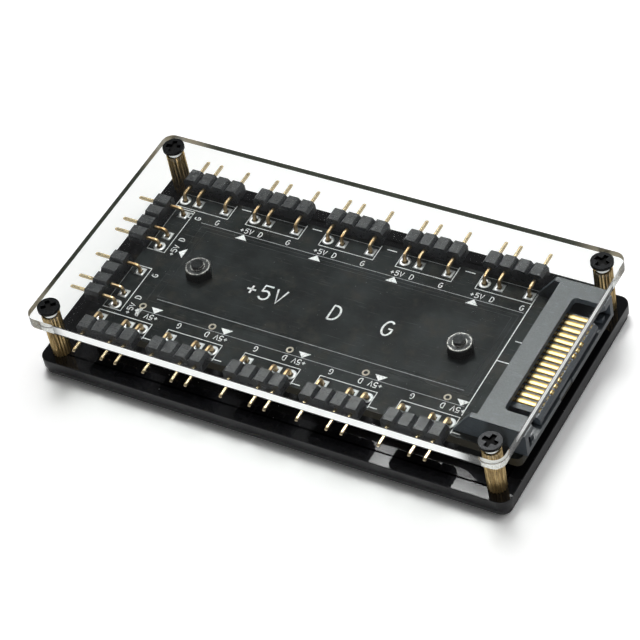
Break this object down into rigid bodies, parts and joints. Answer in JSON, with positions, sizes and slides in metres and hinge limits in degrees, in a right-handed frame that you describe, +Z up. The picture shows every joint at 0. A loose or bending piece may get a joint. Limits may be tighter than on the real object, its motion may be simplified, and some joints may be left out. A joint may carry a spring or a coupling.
{
  "type": "fan lighting hub",
  "caption": "Flat splitter hub: a circuit board between a black base and a clear cover on brass pillars, with right-angle pin headers and a drive power inlet.",
  "frame": {"origin": "middle of the base plate's outline, on the underside of the pad the hub lies on", "axes": "+X along the plates towards the power inlet, +Y to the back row of headers, +Z up through the cover"},
  "size_m": [0.0822, 0.044, 0.0131],
  "materials": {
    "backing_pad": "matt black pad",
    "base_acrylic": "mirror-gloss black",
    "clear_acrylic": "clear, polished",
    "board_mask": "black solder mask, satin",
    "pillar_brass": "straight knurl, satin",
    "screw_black": "black oxide",
    "nut_black": "black oxide",
    "spacer_plastic": "moulded black",
    "header_plastic": "moulded black, fine grain",
    "pin_gold": "gold plated",
    "inlet_plastic": "moulded black, fine grain",
    "contact_gold": "gold plated"
  },
  "bodies": {
    "root": {"backing_pad": "backing_pad", "base_plate": "base_acrylic", "clear_cover": "clear_acrylic", "circuit_board": "board_mask", "cover_screws": "screw_black", "base_screws": "screw_black", "board_screws": "screw_black", "board_nuts": "nut_black", "board_spacers": "spacer_plastic", "sata_housing": "inlet_plastic", "sata_contacts": "contact_gold", "standoff_back_left": "pillar_brass", "standoff_back_right": "pillar_brass", "standoff_front_left": "pillar_brass", "standoff_front_right": "pillar_brass", "header_back_1": "header_plastic", "header_back_1_pins": "pin_gold", "header_back_2": "header_plastic", "header_back_2_pins": "pin_gold", "header_back_3": "header_plastic", "header_back_3_pins": "pin_gold", "header_back_4": "header_plastic", "header_back_4_pins": "pin_gold", "header_back_5": "header_plastic", "header_back_5_pins": "pin_gold", "header_front_1": "header_plastic", "header_front_1_pins": "pin_gold", "header_front_2": "header_plastic", "header_front_2_pins": "pin_gold", "header_front_3": "header_plastic", "header_front_3_pins": "pin_gold", "header_front_4": "header_plastic", "header_front_4_pins": "pin_gold", "header_front_5": "header_plastic", "header_front_5_pins": "pin_gold", "header_left_1": "header_plastic", "header_left_1_pins": "pin_gold", "header_left_2": "header_plastic", "header_left_2_pins": "pin_gold"}
  },
  "joints": []
}
